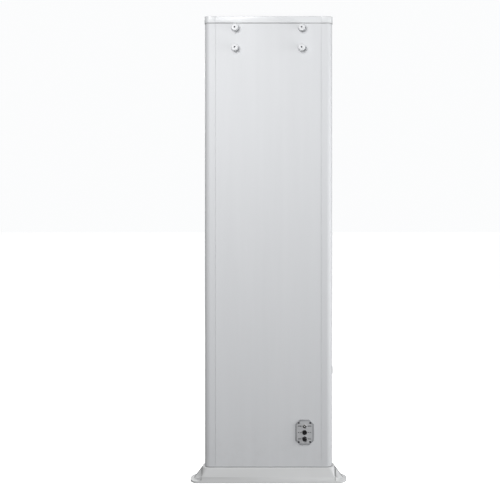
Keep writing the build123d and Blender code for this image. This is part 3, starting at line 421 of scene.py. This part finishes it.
def softened(node, width_mm):
    """A copy of a CAD part with its sharp edges rounded, in its place and on its body."""
    edit = bmesh.new()
    edit.from_mesh(nodes[node].data)
    bmesh.ops.remove_doubles(edit, verts=edit.verts, dist=0.002 * MM)
    bmesh.ops.dissolve_limit(edit, angle_limit=math.radians(0.5), verts=edit.verts, edges=edit.edges)
    mesh = bpy.data.meshes.new(node + "_soft")
    edit.to_mesh(mesh)
    edit.free()
    mesh.shade_smooth()
    piece = bpy.data.objects.new(node + "_soft", mesh)
    scene.collection.objects.link(piece)
    bevel = piece.modifiers.new("edge_radius", "BEVEL")
    bevel.width = width_mm * MM
    bevel.segments = SOFT_SEGMENTS
    bevel.limit_method = "ANGLE"
    bevel.angle_limit = math.radians(SOFT_ANGLE)
    bevel.use_clamp_overlap = node == "base_shoe"    # its short edges would fold over each other
    bevel.harden_normals = True
    slot = slot_of_node[node]
    place_piece(piece, body_of_node[node], slot, finishes[slot], node)


# %% Round the edges of the visible mouldings
edge_radii = {
    "top_cap": 0.8,
    "left_cap_end": 0.8,
    "right_cap_end": 0.8,
    "base_shoe": 0.5,
    "edge_bumper": 0.9,
    "service_plate": 0.35,
    "power_socket": 0.3,
    "fuse_holder": 0.3,
    "switch_nut": 0.25,
    "header_socket": 0.4,
}
for node, radius in edge_radii.items():
    softened(node, radius)
print(len(edge_radii), "parts with softened edges")

# %% [markdown]
# ## Turned pieces
#
# Knobs and studs are bodies of revolution that something interrupts: flutes for the fingers, a
# hexagon for the key. A spin of a fixed profile can't do that, so these pieces are built from
# rings. Each ring has a radius, a distance out of the panel and a shape, which is a factor on
# the radius that depends on the angle. Rings that follow each other are joined by quads, and a
# ring of no radius closes to a pole.

# %% Build a piece from rings
OUTWARDS = Vector((0, -1, 0))
TURNED_SHARP = 38.0              # edges that turn by more are shaded as sharp


def plain(angle):
    """The shape of a round ring."""
    return 1.0


def hexagon(angle):
    """The shape of a hexagon whose radius is measured to its flats."""
    return 1.0 / math.cos((angle + math.pi / 6) % (math.pi / 3) - math.pi / 6)


def turned(name, centre, rings, steps, loop=False):
    """A mesh of rings (radius, out, shape), in millimetres from a centre towards -Y."""
    turn = OUTWARDS.to_track_quat("Z", "Y").to_matrix()
    edit = bmesh.new()
    circles = []
    for radius, out, shape in rings:
        circle = []
        for step in range(steps):
            angle = 2 * math.pi * step / steps
            reach = radius * shape(angle) * MM
            local = Vector((reach * math.cos(angle), reach * math.sin(angle), out * MM))
            circle.append(edit.verts.new(centre + turn @ local))
        circles.append(circle)
    pairs = list(zip(circles, circles[1:]))
    if loop:
        pairs.append((circles[-1], circles[0]))
    for first, second in pairs:
        for step in range(steps):
            after = (step + 1) % steps
            edit.faces.new((first[step], first[after], second[after], second[step]))
    bmesh.ops.remove_doubles(edit, verts=edit.verts, dist=0.001 * MM)
    bmesh.ops.recalc_face_normals(edit, faces=edit.faces)
    mesh = bpy.data.meshes.new(name)
    edit.to_mesh(mesh)
    edit.free()
    mesh.shade_smooth()
    mesh.set_sharp_from_angle(angle=math.radians(TURNED_SHARP))
    piece = bpy.data.objects.new(name, mesh)
    scene.collection.objects.link(piece)
    return piece


# %% [markdown]
# ## The hand knobs
#
# Each knob is a moulded grip of 35 mm with twelve finger flutes, over a metal screw. The real
# flutes come from round cutters set in a circle, so the outline is worked out from the cutter:
# where the cutter reaches past the rim, the rim follows the cutter. Towards the face the flutes
# fade into a rolled shoulder, and the face is slightly dished round the hole for the key.

# %% Knobs
KNOB_R = 17.5
FLUTES = 12
CUTTER_R = 3.4
FLUTE_DEPTH = 1.6
NECK_R = 13.0
HOLE_R = 3.6                     # hole for the key, in the face
BORE_R = 3.64                    # bore round the stud
HEAD_R = 6.5                     # pocket for the stud's head


def fluted(share):
    """The shape of the grip, with its flutes cut to a share of their full depth."""
    cutter_at = KNOB_R + CUTTER_R - FLUTE_DEPTH

    def shape(angle):
        pitch = 2 * math.pi / FLUTES
        off = (angle + pitch / 2) % pitch - pitch / 2
        side = cutter_at * math.sin(off)
        if abs(side) >= CUTTER_R:
            return 1.0
        wall = cutter_at * math.cos(off) - math.sqrt(CUTTER_R**2 - side**2)
        return 1.0 - share * max(0.0, KNOB_R - wall) / KNOB_R
    return shape


knob_rings = [
    (BORE_R, 0.0, plain), (12.4, 0.0, plain), (NECK_R, 0.5, plain), (NECK_R, 3.7, plain),
    (13.3, 4.0, plain), (16.4, 4.0, fluted(0.9)), (17.2, 4.3, fluted(1.0)), (KNOB_R, 5.0, fluted(1.0)),
    (KNOB_R, 13.0, fluted(1.0)), (KNOB_R, 22.6, fluted(1.0)), (17.35, 23.9, fluted(1.0)),
    (16.9, 24.8, fluted(0.95)), (16.2, 25.35, fluted(0.8)), (15.3, 25.6, fluted(0.5)),
    (14.2, 25.5, fluted(0.2)), (13.4, 25.2, plain), (12.6, 25.1, plain), (6.6, 25.0, plain),
    (6.0, 25.15, plain), (5.3, 25.45, plain), (4.6, 25.5, plain), (4.0, 25.3, plain),
    (HOLE_R, 24.9, plain), (HOLE_R, 19.6, plain), (HEAD_R, 19.6, plain), (HEAD_R, 11.6, plain),
    (BORE_R, 11.6, plain),
]
places = [name[len("knob_"):] for name in nodes if name.startswith("knob_")]


def node_middle(node):
    """The middle of a node's box."""
    low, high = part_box(node)
    return (low + high) / 2


for place in places:
    middle = node_middle("knob_" + place)
    back = Vector((middle.x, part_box("knob_" + place)[1].y, middle.z))
    knob = turned("fluted_knob_" + place, back, knob_rings, FLUTES * 16, loop=True)
    place_piece(knob, "knob_" + place, "knob_plastic", knob_finish, "knob_" + place)
print(len(places), "knobs,", len(knob.data.polygons), "faces each")

# %% [markdown]
# ## The captive studs
#
# Behind each knob a steel stud runs through the panel and stands out of its inner face, where
# it screws into the header. The body of the stud is turned: an oiled black head with a hexagon
# socket, a reduced shank, and a threaded end with a chamfered tip. The black of the head is also
# painted shade: it darkens the bottom of the knob's key hole. The thread is a ridge that
# follows a helix, which is what Geometry Nodes' Spiral and Curve to Mesh nodes make directly,
# from the radius, the length and the number of turns.

# %% Stud bodies
THREAD_R = 4.0
THREAD_ROOT_R = 3.42
THREAD_PITCH = 1.25
THREADED = 15.0                  # length of the threaded end
SHANK_R = 3.6
SHOULDER_R = 6.1                 # a head's radius inside its chamfers
HEAD_LENGTH = 8.0
KEY_R = 3.0
BLACKENED = 8.5                  # how far the black, oiled oxide and painted shade of the key hole, reaches from the head's face
# Oiled oxide black, which also paints the shade at the bottom of each knob's key hole.
oxide_and_shade_black = moulded(
    "oxide_and_key_hole_shade", (0.05, 0.05, 0.055), (0.035, 0.035, 0.04), 0.4, grain=2500.0, depth=0.00002)

for place in places:
    low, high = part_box("stud_" + place)
    head_face = low.y
    length = (high.y - low.y) / MM
    tip = Vector((node_middle("stud_" + place).x, high.y, node_middle("stud_" + place).z))
    head_back = length - HEAD_LENGTH
    stud_rings = [
        (0.0, 0.0, plain), (2.6, 0.0, plain), (THREAD_ROOT_R, 0.9, plain), (THREAD_ROOT_R, THREADED, plain),
        (SHANK_R, THREADED + 0.4, plain), (SHANK_R, head_back, plain), (SHOULDER_R, head_back, plain),
        (HEAD_R, head_back + 0.4, plain), (HEAD_R, length - 0.5, plain), (SHOULDER_R, length, plain),
        (KEY_R + 0.35, length, plain), (KEY_R, length - 0.4, hexagon), (KEY_R, length - 4.6, hexagon),
        (0.0, length - 5.2, plain),
    ]
    stud = turned("turned_stud_" + place, tip, stud_rings, 48)
    stud.data.materials.append(finishes["stud_steel"])
    stud.data.materials.append(oxide_and_shade_black)
    for face in stud.data.polygons:
        if face.center.y < head_face + BLACKENED * MM:
            face.material_index = 1
    place_piece(stud, "knob_" + place, "stud_steel", finishes["stud_steel"], "stud_" + place)
print("studs of", round(length, 1), "mm")

# %% A node tree for the thread
def new_tree(name, inputs):
    """An empty geometry node tree with named inputs; returns the tree and its two end nodes."""
    tree = bpy.data.node_groups.new(name, "GeometryNodeTree")
    tree.interface.new_socket("Geometry", in_out="OUTPUT", socket_type="NodeSocketGeometry")
    tree.interface.new_socket("Geometry", in_out="INPUT", socket_type="NodeSocketGeometry")
    for label, kind, value in inputs:
        socket = tree.interface.new_socket(label, in_out="INPUT", socket_type="NodeSocket" + kind)
        if value is not None:
            socket.default_value = value
    return tree, tree.nodes.new("NodeGroupInput"), tree.nodes.new("NodeGroupOutput")


def end_tree(tree, last, source, sink):
    """Realize the instances and set the material, as the last two nodes."""
    real = tree.nodes.new("GeometryNodeRealizeInstances")
    paint = tree.nodes.new("GeometryNodeSetMaterial")
    tree.links.new(last, real.inputs["Geometry"])
    tree.links.new(real.outputs["Geometry"], paint.inputs["Geometry"])
    tree.links.new(source.outputs["Finish"], paint.inputs["Material"])
    tree.links.new(paint.outputs["Geometry"], sink.inputs["Geometry"])


def run_tree(tree, name, values, points=()):
    """Run a tree on an object made of points, and keep the result as a plain mesh."""
    mesh = bpy.data.meshes.new(name + "_points")
    mesh.from_pydata([tuple(point) for point in points], [], [])
    piece = bpy.data.objects.new(name, mesh)
    scene.collection.objects.link(piece)
    modifier = piece.modifiers.new(tree.name, "NODES")
    modifier.node_group = tree
    for item in tree.interface.items_tree:
        if item.in_out == "INPUT" and item.name in values:
            modifier[item.identifier] = values[item.name]
    graph = bpy.context.evaluated_depsgraph_get()
    result = bpy.data.meshes.new_from_object(piece.evaluated_get(graph))
    piece.modifiers.remove(modifier)
    piece.data = result
    result.name = name
    print(name, len(result.polygons), "faces")
    return piece


thread_tree, source, sink = new_tree("thread_ridge", [
    ("Radius", "Float", 0.0037), ("Ridge", "Float", 0.0004), ("Turns", "Float", 10.0),
    ("Length", "Float", 0.0125), ("Place", "Vector", (0.0, 0.0, 0.0)), ("Finish", "Material", None),
])
helix = thread_tree.nodes.new("GeometryNodeCurveSpiral")
helix.inputs["Resolution"].default_value = 28
thread_tree.links.new(source.outputs["Turns"], helix.inputs["Rotations"])
thread_tree.links.new(source.outputs["Radius"], helix.inputs["Start Radius"])
thread_tree.links.new(source.outputs["Radius"], helix.inputs["End Radius"])
thread_tree.links.new(source.outputs["Length"], helix.inputs["Height"])
ridge = thread_tree.nodes.new("GeometryNodeCurvePrimitiveCircle")
ridge.inputs["Resolution"].default_value = 4
thread_tree.links.new(source.outputs["Ridge"], ridge.inputs["Radius"])
wind = thread_tree.nodes.new("GeometryNodeCurveToMesh")
wind.inputs["Fill Caps"].default_value = True
thread_tree.links.new(helix.outputs["Curve"], wind.inputs["Curve"])
thread_tree.links.new(ridge.outputs["Curve"], wind.inputs["Profile Curve"])
lay = thread_tree.nodes.new("GeometryNodeTransform")
lay.inputs["Rotation"].default_value = (math.radians(90), 0, 0)
thread_tree.links.new(wind.outputs["Mesh"], lay.inputs["Geometry"])
thread_tree.links.new(source.outputs["Place"], lay.inputs["Translation"])
end_tree(thread_tree, lay.outputs["Geometry"], source, sink)

# %% Wind the four threads
RIDGE = 0.45
PLAIN_TIP = 1.2                  # length of the tip without a ridge
thread_turns = 10.5
for place in places:
    middle = node_middle("stud_" + place)
    start = Vector((middle.x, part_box("stud_" + place)[1].y - PLAIN_TIP * MM, middle.z))
    thread = run_tree(thread_tree, "thread_" + place, {
        "Radius": (THREAD_R - RIDGE) * MM, "Ridge": RIDGE * MM, "Turns": thread_turns,
        "Length": thread_turns * THREAD_PITCH * MM, "Place": start, "Finish": finishes["stud_steel"],
    })
    place_piece(thread, "knob_" + place, "stud_steel", finishes["stud_steel"])

# %% [markdown]
# ## Screws
#
# The service plate, the cap and the header socket are held by small cross-head screws. One
# head is modelled, as a dome whose polar grid is pushed down inside the cross, and a node tree
# puts a copy on every point it is given, each turned by its own random angle, because no fitter
# leaves all the slots in line. The points are the middles of the CAD screws.

# %% One screw head
def cross_head(name, radius, height, flat=False):
    """A cross-recessed head that faces +Z, with its seat at the origin; sizes in millimetres."""
    ring_count = 16
    steps = 64
    slot_half = 0.17 * radius
    slot_reach = 0.62 * radius
    edit = bmesh.new()
    circles = []
    for ring in range(ring_count + 1):
        share = ring / ring_count
        circle = []
        for step in range(steps):
            angle = 2 * math.pi * step / steps
            x, y = share * radius * math.cos(angle), share * radius * math.sin(angle)
            z = height if flat else height * math.sqrt(max(0.0, 1.0 - 0.85 * share**2.6))
            across, along = min(abs(x), abs(y)), max(abs(x), abs(y))
            if across < slot_half and along < slot_reach:
                z -= 0.62 * height * (1.0 - 0.55 * along / slot_reach)
            circle.append(edit.verts.new((x * MM, y * MM, z * MM)))
        circles.append(circle)
    circles.append([edit.verts.new((vertex.co.x, vertex.co.y, 0.0)) for vertex in circles[-1]])
    for first, second in zip(circles, circles[1:]):
        for step in range(steps):
            after = (step + 1) % steps
            edit.faces.new((first[step], second[step], second[after], first[after]))
    edit.faces.new(list(reversed(circles[-1])))
    bmesh.ops.remove_doubles(edit, verts=edit.verts, dist=0.0005 * MM)
    bmesh.ops.recalc_face_normals(edit, faces=edit.faces)
    mesh = bpy.data.meshes.new(name)
    edit.to_mesh(mesh)
    edit.free()
    mesh.shade_smooth()
    mesh.set_sharp_from_angle(angle=math.radians(40))
    return bpy.data.objects.new(name, mesh)


# %% A node tree that sets screws
screw_tree, source, sink = new_tree("set_screws", [
    ("Head", "Object", None), ("Facing", "Vector", (0.0, 0.0, 0.0)), ("Seed", "Int", 7),
    ("Finish", "Material", None),
])
pick = screw_tree.nodes.new("GeometryNodeObjectInfo")
pick.inputs["As Instance"].default_value = True
screw_tree.links.new(source.outputs["Head"], pick.inputs["Object"])
turn = screw_tree.nodes.new("FunctionNodeRandomValue")
turn.data_type = "FLOAT"
turn.inputs[3].default_value = math.pi
screw_tree.links.new(source.outputs["Seed"], turn.inputs["Seed"])
spin = screw_tree.nodes.new("FunctionNodeAxisAngleToRotation")
spin.inputs["Axis"].default_value = (0, 0, 1)
screw_tree.links.new(turn.outputs[1], spin.inputs["Angle"])
face_out = screw_tree.nodes.new("FunctionNodeRotateRotation")
face_out.rotation_space = "GLOBAL"
screw_tree.links.new(spin.outputs["Rotation"], face_out.inputs["Rotation"])
screw_tree.links.new(source.outputs["Facing"], face_out.inputs["Rotate By"])
set_heads = screw_tree.nodes.new("GeometryNodeInstanceOnPoints")
screw_tree.links.new(source.outputs["Geometry"], set_heads.inputs["Points"])
screw_tree.links.new(pick.outputs["Geometry"], set_heads.inputs["Instance"])
screw_tree.links.new(face_out.outputs["Rotation"], set_heads.inputs["Rotation"])
end_tree(screw_tree, set_heads.outputs["Instances"], source, sink)


def loose_boxes(node):
    """The box of each separate shell in a node's mesh."""
    edit = bmesh.new()
    edit.from_mesh(nodes[node].data)
    bmesh.ops.remove_doubles(edit, verts=edit.verts, dist=0.002 * MM)
    waiting = set(edit.verts)
    boxes = []
    while waiting:
        shell, front = [], [waiting.pop()]
        while front:
            vertex = front.pop()
            shell.append(vertex.co.copy())
            for edge in vertex.link_edges:
                other = edge.other_vert(vertex)
                if other in waiting:
                    waiting.discard(other)
                    front.append(other)
        low = Vector([min(point[axis] for point in shell) for axis in range(3)])
        high = Vector([max(point[axis] for point in shell) for axis in range(3)])
        boxes.append((low, high))
    edit.free()
    return sorted(boxes, key=lambda box: tuple(box[0]))


# %% Set the screws
FACES_OUT = (math.radians(90), 0.0, 0.0)       # towards -Y
FACES_IN = (math.radians(-90), 0.0, 0.0)       # towards +Y
FACES_UP = (0.0, 0.0, 0.0)
CAP_HEAD = 1.2 * MM              # height of a cap screw's flat head
plate_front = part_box("service_plate")[0].y
flange_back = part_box("header_socket")[1].y
screw_sets = [
    ("plate_screws", FACES_OUT, lambda low, high: (plate_front, plate_front - low.y), False, 21),
    ("header_screws", FACES_IN, lambda low, high: (flange_back, high.y - flange_back), False, 5),
    ("cap_screws", FACES_UP, lambda low, high: (high.z - CAP_HEAD, CAP_HEAD), True, 3),
]
for node, facing, seat_of, flat, seed in screw_sets:
    points = []
    for low, high in loose_boxes(node):
        seat, height = seat_of(low, high)
        middle = (low + high) / 2
        if facing == FACES_UP:
            points.append((middle.x, middle.y, seat))
        else:
            points.append((middle.x, seat, middle.z))
    head_radius = (high.x - low.x) / 2 / MM
    head = cross_head(node + "_head", head_radius, height / MM, flat)
    slot = slot_of_node[node]
    heads = run_tree(screw_tree, node + "_cross", {
        "Head": head, "Facing": facing, "Seed": seed, "Finish": finishes[slot],
    }, points)
    place_piece(heads, body_of_node[node], slot, finishes[slot], node)
    print(node, len(points), "screws of", round(2 * head_radius, 1), "mm")

# %% [markdown]
# ## Painted shadow lines
#
# Where the cap and the shoe meet the panel there is a narrow dark line, the shadow of the joint.
# It is painted shade: a thin flat strip stands just off the panel along it, lighter grey under
# the cap and darker above the shoe. A strip follows the panel's own outline, a rectangle with
# rounded corners, so a tree sweeps a small rectangle round it.

# %% A node tree for a strip round the panel
strip_tree, source, sink = new_tree("strip_round_panel", [
    ("Width", "Float", 0.6), ("Depth", "Float", 0.06), ("Corner", "Float", 0.02),
    ("Strip height", "Float", 0.005), ("Strip depth", "Float", 0.001), ("Place", "Vector", (0.0, 0.0, 0.0)),
    ("Finish", "Material", None),
])
outline = strip_tree.nodes.new("GeometryNodeCurvePrimitiveQuadrilateral")
strip_tree.links.new(source.outputs["Width"], outline.inputs["Width"])
strip_tree.links.new(source.outputs["Depth"], outline.inputs["Height"])
corners = strip_tree.nodes.new("GeometryNodeFilletCurve")
corners.mode = "POLY"
corners.inputs["Count"].default_value = 12
strip_tree.links.new(outline.outputs["Curve"], corners.inputs["Curve"])
strip_tree.links.new(source.outputs["Corner"], corners.inputs["Radius"])
section = strip_tree.nodes.new("GeometryNodeCurvePrimitiveQuadrilateral")
strip_tree.links.new(source.outputs["Strip depth"], section.inputs["Width"])
strip_tree.links.new(source.outputs["Strip height"], section.inputs["Height"])
sweep = strip_tree.nodes.new("GeometryNodeCurveToMesh")
strip_tree.links.new(corners.outputs["Curve"], sweep.inputs["Curve"])
strip_tree.links.new(section.outputs["Curve"], sweep.inputs["Profile Curve"])
lift = strip_tree.nodes.new("GeometryNodeTransform")
strip_tree.links.new(sweep.outputs["Mesh"], lift.inputs["Geometry"])
strip_tree.links.new(source.outputs["Place"], lift.inputs["Translation"])
end_tree(strip_tree, lift.outputs["Geometry"], source, sink)

# %% Run the strips under the cap and above the shoe
PANEL_EDGE_R = 26.0
SHADOW_STRIP_HEIGHT = 4.6
SHADOW_STRIP_PROUD = 0.9 * MM            # how far a painted shadow strip stands off the panel
panel_low, panel_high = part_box("left_edge_profile")
panel_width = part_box("right_edge_profile")[1].x - panel_low.x
panel_depth = panel_high.y - panel_low.y
cap_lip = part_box("top_cap")[0].z
shoe_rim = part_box("base_shoe")[1].z
# Painted shade: two flat greys, lighter under the cap and darker above the shoe, stand in for the joints'
# shadow lines.
cap_shadow_finish = moulded(
    "cap_shadow_line_grey", (0.40, 0.405, 0.41), (0.36, 0.365, 0.37), 0.75, grain=1200.0, depth=0.0001)
shoe_shadow_finish = moulded(
    "shoe_shadow_line_grey", (0.28, 0.285, 0.29), (0.24, 0.245, 0.25), 0.75, grain=1200.0, depth=0.0001)
strips = [
    ("cap_seal", cap_lip - 2.3 * MM, cap_shadow_finish),
    ("shoe_seal", shoe_rim + 1.3 * MM, shoe_shadow_finish),
]
for name, level, shadow_strip_finish in strips:
    shadow_strip = run_tree(strip_tree, name, {
        "Width": panel_width + SHADOW_STRIP_PROUD, "Depth": panel_depth + SHADOW_STRIP_PROUD,
        "Corner": PANEL_EDGE_R * MM + SHADOW_STRIP_PROUD / 2, "Strip height": SHADOW_STRIP_HEIGHT * MM,
        "Strip depth": SHADOW_STRIP_PROUD, "Place": Vector((0.0, 0.0, level)), "Finish": shadow_strip_finish,
    })
    place_piece(shadow_strip, "panel", "rubber", shadow_strip_finish)

# %% [markdown]
# ## Marks on the service label
#
# The label carries printed bars beside each device, to show which is which: a solid bar at the
# switch, dashes at the supply socket and a double line at the fuse. They are plain marks with
# no lettering. Each is a thin raised tile with rounded corners, as screen ink is.

# %% Print the label marks
label_low, label_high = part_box("service_label")
label_middle = (label_low + label_high) / 2
INK = 0.06                       # thickness of the ink
BAR_CORNER = 0.3                 # radius of a bar's corners
CORNER_STEPS = 4
row_of = {name: node_middle(node).z for name, node in
          (("switch", "switch_nut"), ("socket", "power_socket"), ("fuse", "fuse_holder"))}
marks = []
for side in (-1, 1):
    marks.append((side * 23.5, row_of["switch"], 18.0, 3.6))
    for dash in (17.5, 27.5):
        marks.append((side * dash, row_of["socket"], 6.5, 3.2))
    for line in (-2.1, 2.1):
        marks.append((side * 23.0, row_of["fuse"] + line * MM, 16.0, 1.7))
ink_edit = bmesh.new()
for across, level, width, height in marks:
    rings = []
    for depth in (0.0, INK):
        ring = []
        for quarter, (side, rise) in enumerate(((1, 1), (-1, 1), (-1, -1), (1, -1))):
            for step in range(CORNER_STEPS):
                turn = math.radians(90 * (quarter + step / (CORNER_STEPS - 1)))
                x = across + side * (width / 2 - BAR_CORNER) + BAR_CORNER * math.cos(turn)
                z = rise * (height / 2 - BAR_CORNER) + BAR_CORNER * math.sin(turn)
                spot = (label_middle.x + x * MM, label_low.y - depth * MM, level + z * MM)
                ring.append(ink_edit.verts.new(spot))
        rings.append(ring)
    back, front = rings
    ink_edit.faces.new(back)
    ink_edit.faces.new(front)
    for here in range(len(back)):
        after = (here + 1) % len(back)
        ink_edit.faces.new((back[here], back[after], front[after], front[here]))
bmesh.ops.recalc_face_normals(ink_edit, faces=ink_edit.faces)
ink_mesh = bpy.data.meshes.new("label_marks")
ink_edit.to_mesh(ink_mesh)
ink_edit.free()
ink = bpy.data.objects.new("label_marks", ink_mesh)
scene.collection.objects.link(ink)
ink_finish = moulded(
    "label_ink", (0.05, 0.052, 0.055), (0.04, 0.042, 0.045), 0.5, grain=2200.0, depth=0.00002)
place_piece(ink, "panel", "label", ink_finish)
print(len(marks), "marks on the label")
